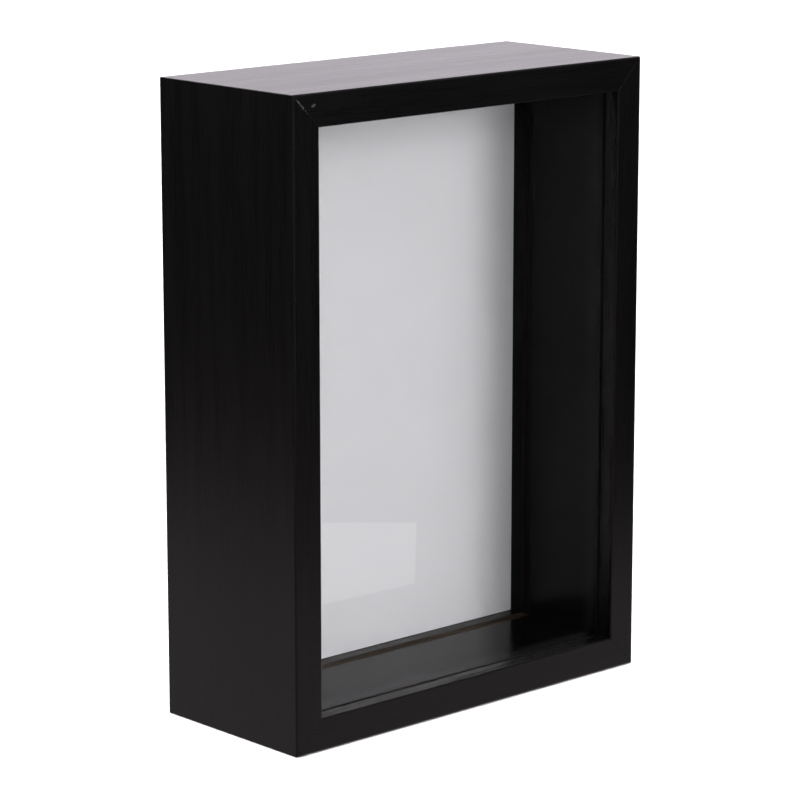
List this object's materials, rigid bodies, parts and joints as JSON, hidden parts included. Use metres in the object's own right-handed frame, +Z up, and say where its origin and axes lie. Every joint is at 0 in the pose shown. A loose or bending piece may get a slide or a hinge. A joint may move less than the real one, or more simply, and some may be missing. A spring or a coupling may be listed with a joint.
{
  "type": "shadow box",
  "caption": "Upright glazed shadow box: mitred black wood frame, deep black inner walls, white display board and a lift-out back with D-ring hangers.",
  "frame": {"origin": "middle of the footprint, on the surface that the box stands on", "axes": "+X to the right across the front, +Y from the glass towards the back, +Z up"},
  "size_m": [0.138, 0.058, 0.189],
  "materials": {
    "black_frame": "satin black lacquer over fine straight grain",
    "black_liner": "smooth semi-gloss black film on fibreboard strip",
    "clear_glass": "clear float glass",
    "white_board": "matt white faced board",
    "raw_fibreboard": "raw brown hardboard",
    "plated_steel": "zinc plated"
  },
  "bodies": {
    "frame": {"left_stile": "black_frame", "right_stile": "black_frame", "top_rail": "black_frame", "bottom_rail": "black_frame", "corner_v_nails": "plated_steel", "glass_pane": "clear_glass", "spacer_left": "black_liner", "spacer_right": "black_liner", "spacer_top": "black_liner", "spacer_bottom": "black_liner", "retaining_tabs": "plated_steel"},
    "back_tray": {"tray_rim_left": "black_liner", "tray_rim_right": "black_liner", "tray_rim_top": "black_liner", "tray_rim_bottom": "black_liner", "display_board": "white_board", "back_board": "raw_fibreboard", "hanger_strap_top": "plated_steel", "hanger_strap_side": "plated_steel", "hanger_rivets": "plated_steel"},
    "ring_top": {"hanger_ring_top": "plated_steel"},
    "ring_side": {"hanger_ring_side": "plated_steel"}
  },
  "joints": [
    {"name": "back_slide", "type": "slide", "parent": "frame", "child": "back_tray", "axis": [0, 1, 0], "range_m": [0, 0.08], "deforming": ["retaining_tabs"]},
    {"name": "ring_top_swing", "type": "hinge", "parent": "back_tray", "child": "ring_top", "pos_m": [0, 0.02165, 0.165], "axis": [1, 0, 0], "range_deg": [0, 180]},
    {"name": "ring_side_swing", "type": "hinge", "parent": "back_tray", "child": "ring_side", "pos_m": [0.045, 0.02165, 0.0945], "axis": [0, 0, -1], "range_deg": [0, 180]}
  ]
}
